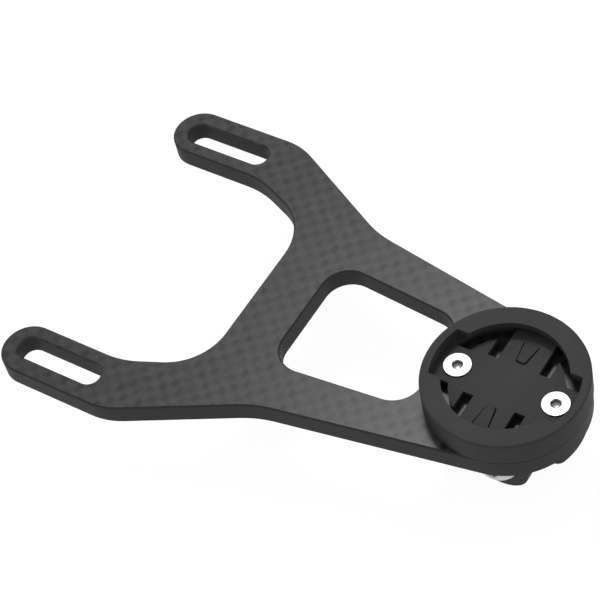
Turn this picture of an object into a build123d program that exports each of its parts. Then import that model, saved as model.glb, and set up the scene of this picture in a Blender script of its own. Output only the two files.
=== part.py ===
from build123d import *
import math
import os

# Out-front mount for a cycling computer, for a one-piece handlebar.
# Millimetres. The origin is on the quarter-turn axis, in the rim face that the computer sits on.
# +Y points forwards, from the handlebar to the puck, +X is the rider's right and +Z is up.

# ---- quarter-turn puck ----
puck_radius = 17.5
puck_height = 6.0
puck_edge = 0.5          # rounding of the outer rim
puck_foot = 0.4          # and of its lower edge
lip_radius = 13.1        # the opening that the computer's boss drops into
groove_radius = 15.2     # the undercut that the computer's tabs turn in
mould_radius = 14.9      # outer reach of the mould openings under the lips
hollow_radius = 15.5     # the hollow underside
lip_thickness = 1.5
cup_depth = 3.4          # rim face down to the floor
floor_thickness = 1.2
entry_half_width = 6.1   # the two entries for the tabs, fore and aft
entry_reach = 15.6
floor_radius = 11.9      # the floor's free edge beside the mould openings
mould_arc_inner = 4.6    # the openings' arcs, from this |x| outwards
mould_slot_inner = 5.15  # the four mould slots, from this |x| outwards
mould_slot_near = 4.75   # and between these two |y|
mould_slot_far = 7.15
screw_boss_radius = 4.4

# ---- click tongues, one each side of the puck's floor ----
tongue_tip = 6.1         # |x| of the free end
tongue_root = 11.0       # |x| where it bends
tongue_tip_half = 0.92
tongue_root_half = 1.65
tongue_corner = 0.5      # rounding of the free end's corners
tongue_rise = 0.4        # the free end stands this far above the floor
tongue_gap = 0.25
hinge_clearance = 0.03

# ---- carbon plate ----
plate_thickness = 5.0
plate_edge = 0.35        # chamfer along every edge
nose_radius = 17.25
waist = (25.3, -46.0)    # outer corner where the body turns out to the arm
waist_radius = 24.7
shoulder_y = -74.9       # outer corner where the arm turns straight back
shoulder_radius = 15.8
arm_x = 34.0
arm_half_width = 6.25
arm_end_y = -98.9        # centre of the round arm end
elbow_y = -78.5          # inner corner of the arm
elbow_radius = 20.0
crotch = (20.8, -61.8)   # inner corner between arm and crossbar
crotch_radius = 13.2
window_front = (11.8, -16.9)
window_front_radius = 6.4
window_rear = (14.6, -49.4)
window_rear_radius = 6.0
slot_x = 33.7
slot_y = -90.9
slot_length = 21.3
slot_width = 5.5

# ---- puck screws, M3 countersunk, and their nuts ----
screw_y = 11.35
screw_proud = 0.4        # the heads stand this far above the floor
m3_radius = 1.5
m3_hole = 1.6
m3_head_radius = 3.0
m3_head_rim = 0.15
m3_length = 12.0
m3_tip_bevel = 0.375
m3_socket = 2.0          # across flats
m3_socket_depth = 1.1
m3_nut_flats = 5.5
m3_nut_height = 2.4
nut_slack = 0.05         # clearance round a captive nut and a sunk head, each side
nut_bore_slack = 0.02    # a nut's bore over its screw's thread
nut_turned = 0.6         # how far in from its corners a nut's faces are turned off, as a share
nut_turned_slope = 1.4   # and how far down, for each millimetre in

# ---- camera adapter under the plate ----
base_half_width = 6.7
base_end_radius = 16.2   # its ends follow the round nose of the plate
base_corner = 2.0
base_thickness = 3.5
base_edge = 0.4          # chamfer round its underside
prong_thickness = 3.0
prong_gap = 3.1
prong_radius = 7.5
pivot_drop = 10.2        # pivot axis below the plate
finger_room = 7.8        # clear radius about the pivot for the camera's fingers
boss_radius = 5.8        # round boss that holds the pivot nut
boss_height = 3.0

# ---- camera pivot bolt, M5 button head, and its nut ----
m5_radius = 2.5
m5_hole = 2.6
m5_length = 20.0
m5_tip_bevel = 0.5
m5_head_radius = 4.75
m5_head_height = 2.75
m5_head_rim = 0.3
m5_dome_top_radius = 2.6
m5_socket = 3.0
m5_socket_depth = 1.6
m5_nut_flats = 8.0
m5_nut_height = 4.0

# ---- length of a cut that goes right through any part ----
through = 60.0

# ---- levels that follow from the sizes above ----
floor_top = -cup_depth
floor_bottom = floor_top - floor_thickness
plate_top = -puck_height
plate_bottom = plate_top - plate_thickness
base_bottom = plate_bottom - base_thickness
pivot_z = plate_bottom - pivot_drop
prong_outer = 1.5 * prong_thickness + prong_gap


def disc(radius, top, bottom):
    """A cylinder about the Z axis between two levels."""
    return Pos(0, 0, (top + bottom) / 2) * Cylinder(radius, top - bottom)


def block(x0, x1, y0, y1, z0, z1):
    """A box between two corners."""
    return Pos((x0 + x1) / 2, (y0 + y1) / 2, (z0 + z1) / 2) * Box(x1 - x0, y1 - y0, z1 - z0)


def across(radius, x0, x1, z):
    """A cylinder that lies along X between x0 and x1, at level z."""
    return Pos((x0 + x1) / 2, 0, z) * Rot(0, 90, 0) * Cylinder(radius, x1 - x0)


def hexagon(flats, height):
    """A hexagonal prism that stands on the XY plane, with two flats facing +X and -X."""
    return extrude(RegularPolygon(flats / 2, 6, major_radius=False, rotation=30), height)


def rounded_polygon(points, radii):
    """A face whose corners are rounded, each with its own radius; 0 leaves a corner sharp."""
    face = make_face(Polyline(*points, close=True)).face()
    for point, radius in zip(points, radii):
        if radius:
            corner = face.vertices().sort_by_distance((point[0], point[1], 0))[0]
            face = face.fillet_2d(radius, [corner])
    return face


def mirrored(points):
    """The same points on the other side, in reverse order, so that the outline goes on round."""
    return [(-x, y) for x, y in reversed(points)]


def nose_tangent():
    """The point where a line from the waist corner touches the round nose."""
    distance = math.hypot(*waist)
    angle = math.atan2(waist[1], waist[0]) + math.acos(nose_radius / distance)
    return (nose_radius * math.cos(angle), nose_radius * math.sin(angle))


def plate_face():
    """The plate's outline with its window and its two slots."""
    outer = arm_x + arm_half_width
    inner = arm_x - arm_half_width
    right = [
        nose_tangent(),
        waist,
        (outer, shoulder_y),
        (outer, arm_end_y),
        (inner, arm_end_y),
        (inner, elbow_y),
        crotch,
    ]
    radii = [0, waist_radius, shoulder_radius, 0, 0, elbow_radius, crotch_radius]
    face = rounded_polygon(right + mirrored(right), radii + radii[::-1])
    face += Circle(nose_radius)
    for side in (-1, 1):
        face += Pos(side * arm_x, arm_end_y) * Circle(arm_half_width)
    right_window = [window_front, window_rear]
    window_radii = [window_front_radius, window_rear_radius]
    face -= rounded_polygon(right_window + mirrored(right_window), window_radii + window_radii[::-1])
    for side in (-1, 1):
        face -= Pos(side * slot_x, slot_y) * SlotOverall(slot_length, slot_width, rotation=90)
    return face


def carbon_plate():
    """Flat carbon plate, chamfered along every edge, with two clearance holes for the screws."""
    plate = Pos(0, 0, plate_bottom) * extrude(plate_face(), plate_thickness)
    rims = plate.edges().group_by(Axis.Z)
    plate = chamfer(rims[0] + rims[-1], plate_edge)
    for y in (-screw_y, screw_y):
        plate -= Pos(0, y, (plate_top + plate_bottom) / 2) * Cylinder(m3_hole, through)
    return plate


def tongue_outline(gap):
    """Plan of the right tongue, grown by a gap at its tip and along both sides."""
    slope = (tongue_root_half - tongue_tip_half) / (tongue_root - tongue_tip)
    tip = tongue_tip - gap
    tip_half = tongue_tip_half + gap - slope * gap
    root_half = tongue_root_half + gap
    points = [(tip, -tip_half), (tongue_root, -root_half), (tongue_root, root_half), (tip, tip_half)]
    corner = tongue_corner + gap
    return rounded_polygon(points, [corner, 0, 0, corner])


def tongue_axis_z():
    """The level that the tongue bends about: the middle of the floor's thickness."""
    return (floor_top + floor_bottom) / 2


def click_tongue():
    """The right tongue: it rises to its tip, and its root is round about the bending axis."""
    half = floor_thickness / 2
    root_half = tongue_root_half
    blank = Pos(0, 0, floor_bottom) * extrude(tongue_outline(0), floor_thickness + tongue_rise)
    side = [
        (tongue_tip - 1, floor_bottom),
        (tongue_root, floor_bottom),
        (tongue_root, floor_top),
        (tongue_tip, floor_top + tongue_rise),
        (tongue_tip - 1, floor_top + tongue_rise),
    ]
    profile = make_face(Polyline(*[(x, 0, z) for x, z in side], close=True))
    blank &= extrude(profile, puck_radius, both=True, dir=(0, 1, 0))
    root = Pos(tongue_root, 0, tongue_axis_z()) * Rot(90, 0, 0) * Cylinder(half, 2 * root_half)
    return blank + root


def quarter_turn_puck():
    """Moulded puck: a cup with two lips that hold the computer's tabs, and a hollow underside."""
    puck = disc(puck_radius, 0, plate_top)
    puck = fillet(puck.edges().group_by(Axis.Z)[-1], puck_edge)
    puck = fillet(puck.edges().group_by(Axis.Z)[0], puck_foot)
    puck -= disc(groove_radius, -lip_thickness, floor_top)
    puck -= disc(lip_radius, 1, floor_top)
    entry = block(-entry_half_width, entry_half_width, -puck_radius, puck_radius, floor_top, 1)
    puck -= entry & disc(entry_reach, 1, floor_top)
    # the hollow under the floor, less a boss round each screw
    hollow = disc(hollow_radius, floor_bottom, plate_top - 1)
    for y in (-screw_y, screw_y):
        hollow -= Pos(0, y, plate_top) * Cylinder(screw_boss_radius, through)
    puck -= hollow
    # openings through the floor, where the mould's cores pass up to form the lips
    for side_x in (-1, 1):
        for side_y in (-1, 1):
            puck -= mould_opening(side_x, side_y)
    # clearance round the two tongues, with a round seat at each root
    seat_radius = floor_thickness / 2 + hinge_clearance
    seat_half = tongue_root_half + hinge_clearance
    for turn in (0, 180):
        pocket = Pos(0, 0, floor_bottom) * extrude(tongue_outline(tongue_gap), floor_thickness)
        pocket += Pos(tongue_root, 0, tongue_axis_z()) * Rot(90, 0, 0) * Cylinder(seat_radius, 2 * seat_half)
        puck -= Rot(0, 0, turn) * pocket
    # countersunk holes for the two screws, whose heads stand a little proud
    sink_radius = m3_head_radius + nut_slack - (screw_proud - m3_head_rim)
    sink_depth = sink_radius - m3_hole
    for y in (-screw_y, screw_y):
        puck -= Pos(0, y, plate_top) * Cylinder(m3_hole, through)
        puck -= Pos(0, y, floor_top - sink_depth / 2) * Cone(m3_hole, sink_radius, sink_depth)
    return puck


def mould_opening(side_x, side_y):
    """One quarter's opening through the floor: a straight slot and the arc beside it."""
    far = puck_radius
    slot = block(mould_slot_inner, far, mould_slot_near, mould_slot_far, floor_bottom - 1, floor_top)
    arc = block(mould_arc_inner, far, mould_slot_near, far, floor_bottom - 1, floor_top)
    arc -= disc(floor_radius, floor_top + 1, floor_bottom - 2)
    opening = (slot + arc) & disc(mould_radius, floor_top, floor_bottom - 1)
    if side_x < 0:
        opening = mirror(opening, Plane.YZ)
    if side_y < 0:
        opening = mirror(opening, Plane.XZ)
    return opening


def puck_screw():
    """M3 countersunk screw with a hexagon socket, its head's face at the origin, tip down."""
    cone = m3_head_radius - m3_radius
    screw = disc(m3_head_radius, 0, -m3_head_rim)
    screw += Pos(0, 0, -m3_head_rim - cone / 2) * Cone(m3_radius, m3_head_radius, cone)
    shank = disc(m3_radius, -m3_head_rim, -m3_length)
    shank = chamfer(shank.edges().group_by(Axis.Z)[0], m3_tip_bevel)
    screw += shank
    screw -= Pos(0, 0, -m3_socket_depth) * hexagon(m3_socket, m3_socket_depth)
    return screw


def hex_nut(flats, height, bore):
    """Hexagon nut about the Z axis from the XY plane up, with the corners of both faces turned off."""
    corner_radius = flats / math.sqrt(3)
    turned = Pos(0, 0, height / 2) * Cylinder(corner_radius, height)
    rims = turned.edges().group_by(Axis.Z)
    drop = (corner_radius - flats / 2) * nut_turned
    turned = chamfer(rims[0] + rims[-1], drop, drop * nut_turned_slope)
    nut = hexagon(flats, height) & turned
    nut -= Pos(0, 0, height / 2) * Cylinder(bore, through)
    return nut


def puck_nut():
    """M3 nut that the puck's screw is tightened into."""
    return hex_nut(m3_nut_flats, m3_nut_height, m3_radius + nut_bore_slack)


def camera_adapter():
    """Moulded adapter: a base along the screws, and three prongs across it for a camera's two fingers."""
    base = disc(base_end_radius, plate_bottom, base_bottom)
    base &= block(-base_half_width, base_half_width, -puck_radius, puck_radius, base_bottom, plate_bottom)
    base = fillet(base.edges().filter_by(Axis.Z), base_corner)
    base = chamfer(base.faces().sort_by(Axis.Z)[0].edges(), base_edge)
    lug = across(prong_radius, -prong_outer, prong_outer, pivot_z)
    lug += block(-prong_outer, prong_outer, -prong_radius, prong_radius, pivot_z, plate_bottom)
    pitch = prong_thickness + prong_gap
    for x in (-pitch / 2, pitch / 2):
        gap = block(x - prong_gap / 2, x + prong_gap / 2, -puck_radius, puck_radius, -through, base_bottom)
        gap += across(finger_room, x - prong_gap / 2, x + prong_gap / 2, pivot_z)
        lug -= gap
        base -= across(finger_room, x - prong_gap / 2, x + prong_gap / 2, pivot_z)
    adapter = base + lug
    adapter += across(boss_radius, -prong_outer - boss_height, -prong_outer, pivot_z)
    adapter -= across(m5_hole, -through / 2, through / 2, pivot_z)
    pocket = Rot(0, 90, 0) * hexagon(m5_nut_flats + 2 * nut_slack, m5_nut_height + 1)
    adapter -= Pos(-prong_outer - boss_height - 1, 0, pivot_z) * pocket
    for y in (-screw_y, screw_y):
        adapter -= Pos(0, y, plate_bottom) * Cylinder(m3_hole, through)
        pocket = hexagon(m3_nut_flats + 2 * nut_slack, m3_nut_height + 1)
        adapter -= Pos(0, y, base_bottom - 1) * pocket
    return adapter


def camera_bolt():
    """M5 button-head bolt along X: a domed head outside the right prong, the shank to the left."""
    rise = m5_head_height - m5_head_rim
    span = m5_head_radius**2 - m5_dome_top_radius**2
    centre = m5_head_rim - (span - rise**2) / (2 * rise)
    dome_radius = math.hypot(m5_head_radius, m5_head_rim - centre)
    middle = math.radians(60)
    side = Polyline(
        (m5_head_height, 0),
        (-m5_length, 0),
        (-m5_length, m5_radius - m5_tip_bevel),
        (m5_tip_bevel - m5_length, m5_radius),
        (0, m5_radius),
        (0, m5_head_radius),
        (m5_head_rim, m5_head_radius),
    )
    dome_middle = (centre + dome_radius * math.cos(middle), dome_radius * math.sin(middle))
    dome = ThreePointArc((m5_head_rim, m5_head_radius), dome_middle, (m5_head_height, m5_dome_top_radius))
    top = Line((m5_head_height, m5_dome_top_radius), (m5_head_height, 0))
    bolt = revolve(make_face([side, dome, top]), Axis.X)
    socket = Rot(0, 90, 0) * hexagon(m5_socket, m5_socket_depth + 1)
    bolt -= Pos(m5_head_height - m5_socket_depth, 0, 0) * socket
    return Pos(prong_outer, 0, pivot_z) * bolt


def camera_nut():
    """M5 nut held against turning in the left prong's boss."""
    nut = Rot(0, 90, 0) * hex_nut(m5_nut_flats, m5_nut_height, m5_radius + nut_bore_slack)
    return Pos(-prong_outer - boss_height, 0, pivot_z) * nut


screws = [Pos(0, y, floor_top + screw_proud) * puck_screw() for y in (-screw_y, screw_y)]
nuts = [Pos(0, y, base_bottom) * puck_nut() for y in (-screw_y, screw_y)]

nodes = {
    "carbon_plate": carbon_plate(),
    "quarter_turn_puck": quarter_turn_puck(),
    "click_tongue_right": click_tongue(),
    "click_tongue_left": Rot(0, 0, 180) * click_tongue(),
    "puck_screws": Compound(children=screws),
    "puck_nuts": Compound(children=nuts),
    "camera_adapter": camera_adapter(),
    "camera_bolt": camera_bolt(),
    "camera_nut": camera_nut(),
}

os.makedirs("parts", exist_ok=True)
for name, shape in nodes.items():
    export_step(shape, f"parts/{name}.step")
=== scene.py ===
"""Carbon out-front mount for a cycling computer, on a white table under soft studio light.

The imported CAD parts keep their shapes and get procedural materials.
The screws, the bolt and the nuts are modelled here, with threads, and stand for the plain CAD ones.
"""

import math

import bmesh
import bpy
from mathutils import Matrix, Vector


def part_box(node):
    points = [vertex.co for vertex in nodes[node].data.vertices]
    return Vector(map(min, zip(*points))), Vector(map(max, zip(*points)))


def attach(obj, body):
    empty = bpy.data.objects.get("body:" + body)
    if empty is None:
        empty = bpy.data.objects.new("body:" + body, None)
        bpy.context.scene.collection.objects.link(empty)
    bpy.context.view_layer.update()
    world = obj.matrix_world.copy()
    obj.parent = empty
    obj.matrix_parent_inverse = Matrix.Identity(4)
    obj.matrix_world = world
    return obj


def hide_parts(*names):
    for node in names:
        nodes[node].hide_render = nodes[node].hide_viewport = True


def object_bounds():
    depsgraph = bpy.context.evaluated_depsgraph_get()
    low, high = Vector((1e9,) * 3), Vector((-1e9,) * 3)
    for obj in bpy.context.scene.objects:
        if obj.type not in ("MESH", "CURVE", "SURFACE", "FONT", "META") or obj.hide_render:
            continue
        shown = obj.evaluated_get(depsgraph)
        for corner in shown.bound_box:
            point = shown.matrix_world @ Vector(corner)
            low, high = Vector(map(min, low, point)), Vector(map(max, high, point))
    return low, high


MM = 0.001

# ---- camera ----
CAMERA_PLACE = (0.213229, 0.152209, 0.358934)
CAMERA_FORWARD = (-0.45816, -0.43356, -0.77596)
CAMERA_ROLL = math.radians(-14.70)
CAMERA_LENS = 131.927        # in millimetres, as Blender takes it
CAMERA_SENSOR = 36.0         # in millimetres too
CAMERA_NEAR = 0.01
CAMERA_FAR = 20.0

# ---- studio ----
WHITE = (1.0, 1.0, 1.0, 1.0)
SURROUND = 1.0               # strength of the even white surround
FLOOR_HALF = 4.0             # from the middle of the floor to its edge
FLOOR_TINT = (0.08, 0.08, 0.08)    # dark, so that it throws little light back on the part
FLOOR_GLOW = 0.94            # its own light, which makes it paper white all the same
KEY_PLACE = (-0.24, -0.169, 0.532)
KEY_TARGET = (0.0, -0.03, 0.0)
KEY_SIZE = 0.12
KEY_POWER = 2.2              # watts

# ---- carbon laminate ----
TOW = 2.04 * MM              # width of one tow, so the weave repeats every two
DRIFT = 1.5 * MM             # how far the tows wander from straight
TOW_END = 0.3                # power that flattens a tow's arch along its own length
CROSSING = 0.05              # how softly one tow gives way to the next
Y_TOW_SHEEN = 0.2             # painted sheen: how much lighter the tows along Y are painted, standing in for how their fibres catch the light
X_TOW_SHADE = 0.72             # painted shade: how much darker the tows along X are painted, standing in for how their fibres catch the light
FIBRE_ACROSS = 9000.0        # fibres seen to a metre across a tow
FIBRE_ALONG = 350.0          # and how often their tone changes in a metre along it
PLY = 0.25 * MM              # thickness of one ply, seen on the machined edges
CUT_LEVEL = 500.0            # cutter marks to a metre round the machined edge
CUT_UPRIGHT = 9000.0         # and up its height
CARBON = (0.0165, 0.0165, 0.0167)
CARBON_EDGE = (0.0145, 0.0145, 0.0147)
FLAT = 0.9                   # faces whose normal's Z is over this show the weave
FLAT_BY_SLOT = 0.5           # round the slots the chamfer shows it too
SLOT = (33.7 * MM, -90.9 * MM)     # centre of the right slot in the plate
SLOT_REACH = (3.3 * MM, 11.2 * MM)  # from its centre past its rim

# ---- moulded nylon ----
PUCK_NYLON = (0.0260, 0.0260, 0.0264)
PUCK_ROUGHNESS = 0.62
ADAPTER_NYLON = (0.0225, 0.0225, 0.0229)
ADAPTER_ROUGHNESS = 0.58
MOULD_GRAIN = 0.02 * MM      # depth of the mould's etched grain
MOULDED_EDGE = 0.12 * MM     # radius that every moulded edge has

# ---- steel ----
STEEL = (0.55, 0.545, 0.535)
# painted shade: a darker copy of the steel for a socket's walls, mouth and drilled point, standing
# in for the shade inside the recess
SOCKET_PAINTED_SHADE = (0.30, 0.297, 0.29)
STEEL_ROUGHNESS = 0.46

# ---- fasteners: an M3 countersunk screw, an M5 button-head bolt and their nuts ----
M3_RADIUS = 1.5 * MM
M3_PITCH = 0.5 * MM
M3_LENGTH = 12.0 * MM
M3_TIP = 0.35 * MM           # bevel at its end
M3_HEAD_RADIUS = 3.0 * MM
M3_HEAD_RIM = 0.15 * MM
M3_SOCKET = 2.0 * MM         # across flats
M3_SOCKET_DEPTH = 1.1 * MM
M3_NUT_FLATS = 5.5 * MM
M3_NUT_HEIGHT = 2.4 * MM
M5_RADIUS = 2.5 * MM
M5_PITCH = 0.8 * MM
M5_LENGTH = 20.0 * MM
M5_TIP = 0.5 * MM
M5_HEAD_RADIUS = 4.75 * MM
M5_HEAD_HEIGHT = 2.75 * MM
M5_HEAD_RIM = 0.3 * MM
M5_HEAD_FOOT = 0.08 * MM     # bevel round the underside of its head
M5_DOME_TOP_RADIUS = 2.6 * MM
M5_SOCKET = 3.0 * MM
M5_SOCKET_DEPTH = 1.6 * MM
M5_NUT_FLATS = 8.0 * MM
M5_NUT_HEIGHT = 4.0 * MM
BORE_SLACK = 0.02 * MM       # a nut's bore over its screw's thread
ROUNDING = 0.12 * MM         # of a head's outer edge
THREAD_DEPTH = 0.6           # of the pitch
SOCKET_LEAD = 0.08           # depth of a socket's countersunk mouth, of its flats
SOCKET_MOUTH = 0.04          # how far the mouth clears the socket's corners, of its flats
DRILL_POINT = 0.2            # depth of the drilled point under a socket, of its flats
NUT_FACE = 0.96              # width of a nut's turned face, of its flats
NUT_SINK = 0.06              # countersink of a nut's bore, of its flats
NUT_CONE = math.radians(30)  # slope that turns off a nut's corners

# ---- fineness of the turned pieces ----
AROUND = 48                  # points round a piece, so that a hexagon's corners fall on them
THREAD_STEPS = 8             # rings to each turn of a thread
RIM_STEPS = 4
DOME_STEPS = 12
SOCKET_BANDS = 2             # bands of faces up a socket's wall, which take the socket's painted shade
SHARP = math.radians(28)     # edges that turn more than this stay crisp


# ---------------------------------------------------------------- node helpers


class Tree:
    """A small wrapper that makes a material's node tree readable."""

    def __init__(self, name):
        self.material = bpy.data.materials.new(name)
        self.material.use_nodes = True
        self.tree = self.material.node_tree
        self.shader = self.tree.nodes["Principled BSDF"]

    def node(self, kind, **settings):
        made = self.tree.nodes.new(kind)
        for key, value in settings.items():
            setattr(made, key, value)
        return made

    def feed(self, socket, value):
        """Links an output into a socket, or sets the socket's own value."""
        if isinstance(value, bpy.types.NodeSocket):
            self.tree.links.new(value, socket)
        else:
            socket.default_value = value

    def set(self, **sockets):
        """Feeds the shader's sockets, with _ for each space in their names."""
        for name, value in sockets.items():
            self.feed(self.shader.inputs[name.replace("_", " ")], value)

    def math(self, operation, *values):
        made = self.node("ShaderNodeMath", operation=operation)
        for socket, value in zip(made.inputs, values):
            self.feed(socket, value)
        return made.outputs[0]

    def plus(self, first, second):
        return self.math("ADD", first, second)

    def minus(self, first, second):
        return self.math("SUBTRACT", first, second)

    def times(self, first, second):
        return self.math("MULTIPLY", first, second)

    def object_point(self):
        return self.node("ShaderNodeTexCoord").outputs["Object"]

    def split(self, vector):
        made = self.node("ShaderNodeSeparateXYZ")
        self.feed(made.inputs[0], vector)
        return made.outputs

    def join(self, x, y, z):
        made = self.node("ShaderNodeCombineXYZ")
        for socket, value in zip(made.inputs, (x, y, z)):
            self.feed(socket, value)
        return made.outputs[0]

    def noise(self, vector, scale=1.0, detail=2.0):
        """Cloudy noise about 0.5; the scale is roughly its lumps to each metre of the vector."""
        made = self.node("ShaderNodeTexNoise")
        self.feed(made.inputs["Vector"], vector)
        made.inputs["Scale"].default_value = scale
        made.inputs["Detail"].default_value = detail
        return made.outputs["Fac"]

    def white(self, x, y):
        """An unrelated number from 0 to 1 for each pair of whole numbers."""
        made = self.node("ShaderNodeTexWhiteNoise", noise_dimensions="2D")
        self.feed(made.inputs["Vector"], self.join(x, y, 0.0))
        return made.outputs["Value"]

    def spread(self, value, low, high, to_low, to_high):
        """Maps low to high onto to_low to to_high, and stays inside that."""
        made = self.node("ShaderNodeMapRange", clamp=True)
        for socket, item in zip(made.inputs, (value, low, high, to_low, to_high)):
            self.feed(socket, item)
        return made.outputs[0]

    def around(self, noise, middle, swing, low=0.3, high=0.7):
        """Turns noise into a number that stays within a swing of its middle."""
        return self.spread(noise, low, high, middle - swing, middle + swing)

    def mix(self, factor, first, second):
        """A blend of two numbers."""
        made = self.node("ShaderNodeMix", data_type="FLOAT")
        self.feed(made.inputs["Factor"], factor)
        self.feed(made.inputs["A"], first)
        self.feed(made.inputs["B"], second)
        return made.outputs["Result"]

    def shade(self, tint, level):
        """The colour tint times a level."""
        made = self.node("ShaderNodeVectorMath", operation="SCALE")
        made.inputs[0].default_value = tint
        self.feed(made.inputs["Scale"], level)
        return made.outputs[0]

    def bump(self, height, depth, strength=0.6, under=None):
        """Normals of a relief, laid over other normals if there are any."""
        made = self.node("ShaderNodeBump")
        made.inputs["Strength"].default_value = strength
        made.inputs["Distance"].default_value = depth
        self.feed(made.inputs["Height"], height)
        if under is not None:
            self.feed(made.inputs["Normal"], under)
        return made.outputs[0]

    def rounded(self, radius):
        """Normals that turn smoothly over an edge, as a moulded edge does."""
        made = self.node("ShaderNodeBevel", samples=6)
        made.inputs["Radius"].default_value = radius
        return made.outputs[0]


# ------------------------------------------------------------------- materials


def weave_material():
    """Matt plain-weave laminate: each tow rises over one neighbour and dips under the next, with
    painted sheen and shade that make the tows along Y lighter and those along X darker.
    """
    t = Tree("carbon_weave")
    point = t.object_point()
    x, y, z = t.split(point)
    # the same noise half a metre away serves as a second, unrelated one
    aside = t.join(t.plus(x, 0.5), t.plus(y, 0.5), z)
    drift_x = t.times(t.minus(t.noise(point, scale=160.0), 0.5), DRIFT)
    drift_y = t.times(t.minus(t.noise(aside, scale=160.0), 0.5), DRIFT)
    # position counted in tows across the plate and along it
    u = t.math("DIVIDE", t.plus(x, drift_x), TOW)
    v = t.math("DIVIDE", t.plus(y, drift_y), TOW)
    wave_u = t.math("SINE", t.times(u, math.pi))
    wave_v = t.math("SINE", t.times(v, math.pi))
    arch_u = t.math("ABSOLUTE", wave_u)
    arch_v = t.math("ABSOLUTE", wave_v)
    # each cell is a pillow, longer in the direction of the tow on top
    pillow_x = t.times(t.math("POWER", arch_u, TOW_END), arch_v)
    pillow_y = t.times(arch_u, t.math("POWER", arch_v, TOW_END))
    y_on_top = t.spread(t.times(wave_u, wave_v), -CROSSING, CROSSING, 0.0, 1.0)
    x_on_top = t.minus(1.0, y_on_top)
    # the painted shade is much fainter on some cells than on others
    patch = t.white(t.math("FLOOR", u), t.math("FLOOR", v))
    # painted shade on the tows along X and painted sheen on the tows along Y, arched over each cell
    x_tow_shade_mask = t.times(t.times(x_on_top, pillow_x), t.spread(patch, 0.0, 1.0, 0.4, 1.2))
    light = t.times(y_on_top, pillow_y)
    # the fibres run along whichever tow lies on top
    fibre_x = t.noise(t.join(t.times(x, FIBRE_ALONG), t.times(y, FIBRE_ACROSS), z))
    fibre_y = t.noise(t.join(t.times(x, FIBRE_ACROSS), t.times(y, FIBRE_ALONG), z))
    fibre = t.mix(y_on_top, fibre_x, fibre_y)
    cloud = t.noise(point, scale=260.0, detail=3.0)
    mottle = t.noise(aside, scale=800.0)
    # the tows' painted sheen and shade set the tone, and the noises below add the laminate's own
    # random tone
    tone = t.minus(t.plus(1.0, t.times(light, Y_TOW_SHEEN)), t.times(x_tow_shade_mask, X_TOW_SHADE))
    for noise, swing in ((fibre, 0.07), (cloud, 0.15), (mottle, 0.2)):
        tone = t.times(tone, t.around(noise, 1.0, swing))
    rough = t.plus(t.around(fibre, 0.375, swing=0.01), t.around(cloud, 0.0, swing=0.012))
    relief = t.plus(t.mix(y_on_top, pillow_x, pillow_y), t.times(fibre, 0.12))
    t.set(
        Base_Color=t.shade(CARBON, tone),
        Roughness=t.plus(rough, t.times(x_tow_shade_mask, 0.01)),
        Normal=t.bump(relief, depth=0.003 * MM),
        Specular_IOR_Level=0.25,
    )
    return t.material


def cut_edge_material():
    """The laminate's machined edge: the stack of plies shows as faint level lines."""
    t = Tree("carbon_cut_edge")
    x, y, z = t.split(t.object_point())
    plies = t.math("SINE", t.times(z, 2 * math.pi / PLY))
    marks = t.join(t.times(x, CUT_LEVEL), t.times(y, CUT_LEVEL), t.times(z, CUT_UPRIGHT))
    cut = t.noise(marks, detail=3.0)
    tone = t.plus(t.spread(plies, -1.0, 1.0, 0.8, 0.95), t.spread(cut, 0.2, 0.8, 0.0, 0.3))
    relief = t.plus(t.times(plies, 0.1), t.times(cut, 0.4))
    t.set(
        Base_Color=t.shade(CARBON_EDGE, tone),
        Roughness=t.spread(cut, 0.2, 0.8, 0.52, 0.66),
        Normal=t.bump(relief, depth=0.02 * MM),
        Specular_IOR_Level=0.18,
    )
    return t.material


def nylon_material(name, tint, roughness):
    """Moulded black nylon with the fine grain of an etched mould and faint flow marks."""
    t = Tree(name)
    point = t.object_point()
    grain = t.noise(point, scale=5200.0)
    pits = t.noise(point, scale=1500.0, detail=3.0)
    flow = t.noise(point, scale=110.0, detail=4.0)
    tone = t.times(t.around(flow, 1.0, swing=0.14), t.around(pits, 1.0, swing=0.06))
    relief = t.plus(t.times(grain, 0.5), pits)
    t.set(
        Base_Color=t.shade(tint, tone),
        Roughness=t.around(t.plus(flow, grain), roughness, swing=0.05, low=0.7, high=1.3),
        Normal=t.bump(relief, depth=MOULD_GRAIN, strength=0.7, under=t.rounded(MOULDED_EDGE)),
        Specular_IOR_Level=0.1,
    )
    return t.material


def steel_material(name, tint):
    """Stainless steel with fine turning rings about the piece's own Z axis."""
    t = Tree(name)
    point = t.object_point()
    x, y, z = t.split(point)
    radius = t.math("SQRT", t.plus(t.times(x, x), t.times(y, y)))
    rings = t.noise(t.join(t.times(radius, 16000.0), 0.0, 0.0))
    stain = t.noise(point, scale=900.0, detail=3.0)
    scuff = t.noise(point, scale=6000.0)
    wear = t.plus(scuff, rings)
    relief = t.plus(rings, t.times(scuff, 0.4))
    t.set(
        Base_Color=t.shade(tint, t.around(stain, 0.96, swing=0.04)),
        Metallic=1.0,
        Roughness=t.around(wear, STEEL_ROUGHNESS, swing=0.05, low=0.7, high=1.3),
        Normal=t.bump(relief, depth=0.004 * MM),
    )
    return t.material


def floor_material():
    """White sweep that stays close to paper white."""
    t = Tree("studio_floor")
    paper = t.noise(t.object_point(), scale=40.0)
    t.set(
        Base_Color=t.shade(FLOOR_TINT, t.spread(paper, 0.3, 0.7, 0.99, 1.0)),
        Roughness=0.9,
        Specular_IOR_Level=0.0,
        Emission_Color=WHITE,
        Emission_Strength=FLOOR_GLOW,
    )
    return t.material


# ------------------------------------------------------------------- fasteners


def hexagon_radius(flats, angle):
    """Distance from the axis to a hexagon's side, with two flats facing +X and -X."""
    return flats / 2 / math.cos((angle + math.pi / 6) % (math.pi / 3) - math.pi / 6)


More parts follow.
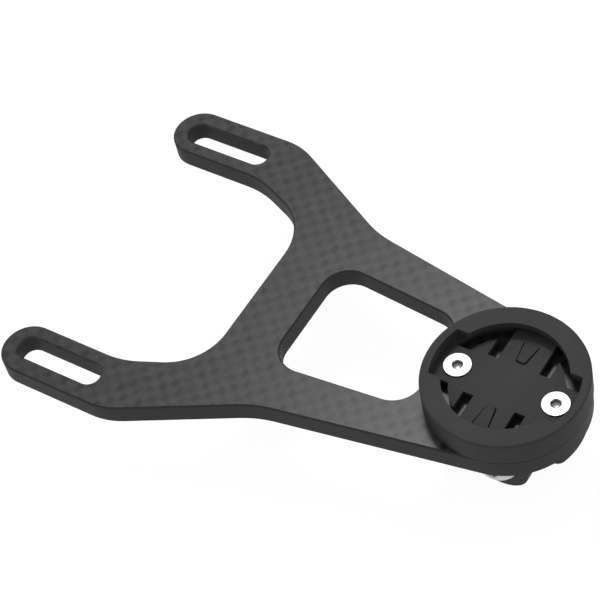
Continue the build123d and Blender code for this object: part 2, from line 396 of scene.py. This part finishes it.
def ring(height, radius):
    """Points round the Z axis; the height and the radius are numbers or functions of the angle."""
    points = []
    for i in range(AROUND):
        angle = 2 * math.pi * i / AROUND
        z = height(angle) if callable(height) else height
        r = radius(angle) if callable(radius) else radius
        points.append((r * math.cos(angle), r * math.sin(angle), z))
    return points


def hexagon_ring(height, flats):
    def radius(angle):
        return hexagon_radius(flats, angle)

    return ring(height, radius)


def thread_rings(crest, pitch, top, bottom):
    """A right-hand thread between two heights, which starts and ends on its crest radius."""
    depth = THREAD_DEPTH * pitch
    count = round((top - bottom) / pitch * THREAD_STEPS)
    rings = []
    for i in range(count + 1):
        z = top + (bottom - top) * i / count
        fade = min(1.0, i / THREAD_STEPS, (count - i) / THREAD_STEPS)

        def radius(angle):
            turn = 2 * math.pi * z / pitch - angle
            return crest - depth * fade * (0.5 - 0.5 * math.cos(turn))

        rings.append(ring(z, radius))
    return rings


def socket_rings(flats, depth, top):
    """A broached hexagon socket from its floor up to the countersunk mouth in the face."""
    corner = flats / math.sqrt(3)
    return [
        hexagon_ring(top - depth, flats),
        hexagon_ring(top - SOCKET_LEAD * flats, flats),
        ring(top, corner + SOCKET_MOUTH * flats),
    ]


def rim_rings(radius, top):
    """The rounded outer edge of a flat face."""
    rings = []
    for i in range(RIM_STEPS + 1):
        angle = math.pi / 2 * i / RIM_STEPS
        drop = ROUNDING * (1 - math.cos(angle))
        inset = ROUNDING * (1 - math.sin(angle))
        rings.append(ring(top - drop, radius - inset))
    return rings


def countersunk_screw():
    """M3 screw with its head's face on the XY plane: its rings, its socket's point and its tip."""
    cone = M3_HEAD_RADIUS - M3_RADIUS
    neck = -M3_HEAD_RIM - cone
    rings = socket_rings(M3_SOCKET, M3_SOCKET_DEPTH, 0.0)
    rings += rim_rings(M3_HEAD_RADIUS, 0.0)
    rings += [ring(-M3_HEAD_RIM, M3_HEAD_RADIUS), ring(neck, M3_RADIUS)]
    rings += thread_rings(M3_RADIUS, M3_PITCH, neck - M3_PITCH, M3_TIP - M3_LENGTH)
    rings += [ring(-M3_LENGTH, M3_RADIUS - M3_TIP)]
    return rings, -M3_SOCKET_DEPTH - DRILL_POINT * M3_SOCKET, -M3_LENGTH


def button_head_bolt():
    """M5 bolt with the underside of its domed head on the XY plane, returned as the screw is."""
    rise = M5_HEAD_HEIGHT - M5_HEAD_RIM
    span = M5_HEAD_RADIUS**2 - M5_DOME_TOP_RADIUS**2
    centre = M5_HEAD_RIM - (span - rise**2) / (2 * rise)
    dome = math.hypot(M5_HEAD_RADIUS, M5_HEAD_RIM - centre)
    start = math.asin(M5_DOME_TOP_RADIUS / dome)
    end = math.asin(M5_HEAD_RADIUS / dome)
    rings = socket_rings(M5_SOCKET, M5_SOCKET_DEPTH, M5_HEAD_HEIGHT)
    rings += [ring(M5_HEAD_HEIGHT, M5_DOME_TOP_RADIUS - ROUNDING)]
    for i in range(1, DOME_STEPS + 1):
        angle = start + (end - start) * i / DOME_STEPS
        rings.append(ring(centre + dome * math.cos(angle), dome * math.sin(angle)))
    rings += [
        ring(M5_HEAD_FOOT, M5_HEAD_RADIUS),
        ring(0.0, M5_HEAD_RADIUS - M5_HEAD_FOOT),
        ring(0.0, M5_RADIUS),
    ]
    rings += thread_rings(M5_RADIUS, M5_PITCH, -M5_PITCH, M5_TIP - M5_LENGTH)
    rings += [ring(-M5_LENGTH, M5_RADIUS - M5_TIP)]
    return rings, M5_HEAD_HEIGHT - M5_SOCKET_DEPTH - DRILL_POINT * M5_SOCKET, -M5_LENGTH


def hexagon_nut(flats, height, bore):
    """A nut from the XY plane up: both faces are turned to a cone, and the bore is countersunk."""
    face = NUT_FACE * flats / 2
    sink = NUT_SINK * flats

    def side(angle):
        return hexagon_radius(flats, angle)

    def low(angle):
        return (side(angle) - face) * math.tan(NUT_CONE)

    def high(angle):
        return height - low(angle)

    return [
        ring(sink, bore),
        ring(height - sink, bore),
        ring(height, bore + sink),
        ring(height, face),
        ring(high, side),
        ring(low, side),
        ring(0.0, face),
        ring(0.0, bore + sink),
    ]


def turned_mesh(name, rings, materials, ends=None, painted_shade_bands=0):
    """Skins the rings into one closed surface, with a point at each end, or as a loop with none.

    A socket's first bands of faces, as many as the last argument counts, and its drilled point take
    the second material, a darker steel that paints the shade inside the socket.
    """
    points = [point for each in rings for point in each]
    count = len(rings)
    faces = []
    slots = []
    for i in range(count - 1 if ends else count):
        for j in range(AROUND):
            k = (j + 1) % AROUND
            here = i * AROUND
            there = (i + 1) % count * AROUND
            faces.append((here + j, there + j, there + k, here + k))
            slots.append(1 if i < painted_shade_bands else 0)
    if ends:
        last = (count - 1) * AROUND
        points += [(0.0, 0.0, ends[0]), (0.0, 0.0, ends[1])]
        for j in range(AROUND):
            k = (j + 1) % AROUND
            faces.append((len(points) - 2, j, k))
            faces.append((len(points) - 1, last + k, last + j))
            slots += [1 if painted_shade_bands else 0, 0]
    mesh = bpy.data.meshes.new(name)
    mesh.from_pydata(points, [], faces)
    mesh.validate()
    for material in materials:
        mesh.materials.append(material)
    for polygon, slot in zip(mesh.polygons, slots):
        polygon.material_index = slot
    turned = bmesh.new()
    turned.from_mesh(mesh)
    bmesh.ops.recalc_face_normals(turned, faces=turned.faces)
    turned.to_mesh(mesh)
    turned.free()
    mesh.shade_smooth()
    mesh.set_sharp_from_angle(angle=SHARP)
    return mesh


def place_fastener(name, mesh, place, along, body, node):
    """Sets a fastener at its place with its own Z axis along a direction, for one CAD node."""
    piece = bpy.data.objects.new(name, mesh)
    bpy.context.scene.collection.objects.link(piece)
    turn = Matrix.Rotation(math.radians(90), 4, "Y") if along == "X" else Matrix.Identity(4)
    piece.matrix_world = Matrix.Translation(place) @ turn
    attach(piece, body)
    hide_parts(node)


def add_puck_fasteners(steel, socket):
    """The two M3 screws, with their heads' faces at the top of the CAD ones, and their nuts."""
    low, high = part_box("puck_screws")
    nut_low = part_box("puck_nuts")[0]
    rings, floor, tip = countersunk_screw()
    screw = turned_mesh("m3_screw", rings, (steel, socket), (floor, tip), SOCKET_BANDS)
    rings = hexagon_nut(M3_NUT_FLATS, M3_NUT_HEIGHT, M3_RADIUS + BORE_SLACK)
    nut = turned_mesh("m3_nut", rings, (steel,))
    for end, y in (("front", high[1] - M3_HEAD_RADIUS), ("rear", low[1] + M3_HEAD_RADIUS)):
        place_fastener("puck_screw_" + end, screw, (0, y, high[2]), "Z", "mount", "puck_screws")
        place_fastener("puck_nut_" + end, nut, (0, y, nut_low[2]), "Z", "mount", "puck_nuts")


def add_pivot_fasteners(steel, socket):
    """The M5 bolt through the adapter's prongs, which slides out, and its captive nut."""
    low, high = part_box("camera_bolt")
    pivot_z = (low[2] + high[2]) / 2
    rings, floor, tip = button_head_bolt()
    bolt = turned_mesh("m5_bolt", rings, (steel, socket), (floor, tip), SOCKET_BANDS)
    place = (high[0] - M5_HEAD_HEIGHT, 0, pivot_z)
    place_fastener("pivot_bolt", bolt, place, "X", "bolt", "camera_bolt")
    rings = hexagon_nut(M5_NUT_FLATS, M5_NUT_HEIGHT, M5_RADIUS + BORE_SLACK)
    nut = turned_mesh("m5_nut", rings, (steel,))
    place = (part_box("camera_nut")[0][0], 0, pivot_z)
    place_fastener("pivot_nut", nut, place, "X", "mount", "camera_nut")


# ------------------------------------------------------------- scene furniture


def add_camera():
    camera = bpy.data.cameras.new("camera")
    camera.lens = CAMERA_LENS
    camera.sensor_width = CAMERA_SENSOR
    camera.clip_start = CAMERA_NEAR
    camera.clip_end = CAMERA_FAR
    holder = bpy.data.objects.new("camera", camera)
    bpy.context.scene.collection.objects.link(holder)
    turn = Vector(CAMERA_FORWARD).to_track_quat("-Z", "Y").to_matrix().to_4x4()
    roll = Matrix.Rotation(CAMERA_ROLL, 4, "Z")
    holder.matrix_world = Matrix.Translation(CAMERA_PLACE) @ turn @ roll
    bpy.context.scene.camera = holder


def add_floor(height):
    """A white floor that the part stands on."""
    mesh = bpy.data.meshes.new("floor")
    signs = ((-1, -1), (1, -1), (1, 1), (-1, 1))
    corners = [(x * FLOOR_HALF, y * FLOOR_HALF, 0) for x, y in signs]
    mesh.from_pydata(corners, [], [(0, 1, 2, 3)])
    mesh.materials.append(floor_material())
    floor = bpy.data.objects.new("floor", mesh)
    floor.location = (0, 0, height)
    bpy.context.scene.collection.objects.link(floor)


def add_surround():
    """Even white light from every side."""
    world = bpy.data.worlds.new("studio")
    world.use_nodes = True
    back = world.node_tree.nodes["Background"]
    back.inputs["Color"].default_value = WHITE
    back.inputs["Strength"].default_value = SURROUND
    bpy.context.scene.world = world


def add_key_box():
    """One soft box, high up behind the part and on its left."""
    light = bpy.data.lights.new("key_box", "AREA")
    light.shape = "SQUARE"
    light.size = KEY_SIZE
    light.energy = KEY_POWER
    holder = bpy.data.objects.new("key_box", light)
    bpy.context.scene.collection.objects.link(holder)
    aim = (Vector(KEY_TARGET) - Vector(KEY_PLACE)).to_track_quat("-Z", "Y").to_matrix().to_4x4()
    holder.matrix_world = Matrix.Translation(KEY_PLACE) @ aim


# ------------------------------------------------------------------------ main


def dress(obj, *materials):
    obj.data.materials.clear()
    for material in materials:
        obj.data.materials.append(material)


def dress_plate(plate):
    """Weave on the plate's faces, and the cut edge on its sides and most of its chamfers."""
    dress(plate, weave_material(), cut_edge_material())
    for polygon in plate.data.polygons:
        off_x = abs(abs(polygon.center.x) - SLOT[0])
        off_y = abs(polygon.center.y - SLOT[1])
        by_slot = off_x < SLOT_REACH[0] and off_y < SLOT_REACH[1]
        flat = FLAT_BY_SLOT if by_slot else FLAT
        polygon.material_index = 0 if abs(polygon.normal.z) > flat else 1


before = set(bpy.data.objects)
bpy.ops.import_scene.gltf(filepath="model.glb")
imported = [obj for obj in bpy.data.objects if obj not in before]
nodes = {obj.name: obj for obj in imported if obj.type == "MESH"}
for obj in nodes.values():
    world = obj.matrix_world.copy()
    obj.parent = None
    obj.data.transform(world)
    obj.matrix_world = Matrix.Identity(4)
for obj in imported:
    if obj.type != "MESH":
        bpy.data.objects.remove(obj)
cad_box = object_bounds()
add_camera()

dress_plate(nodes["carbon_plate"])
puck_nylon = nylon_material("puck_nylon", PUCK_NYLON, PUCK_ROUGHNESS)
for name in ("quarter_turn_puck", "click_tongue_right", "click_tongue_left"):
    dress(nodes[name], puck_nylon)
dress(nodes["camera_adapter"], nylon_material("adapter_nylon", ADAPTER_NYLON, ADAPTER_ROUGHNESS))

stainless_steel = steel_material("stainless_steel", STEEL)
# a darker copy of the steel that paints the shade inside the sockets
socket_painted_shade = steel_material("socket_painted_shade", SOCKET_PAINTED_SHADE)
add_puck_fasteners(stainless_steel, socket_painted_shade)
add_pivot_fasteners(stainless_steel, socket_painted_shade)

add_floor(cad_box[0][2])
add_surround()
add_key_box()
bpy.context.scene.view_settings.view_transform = "Standard"
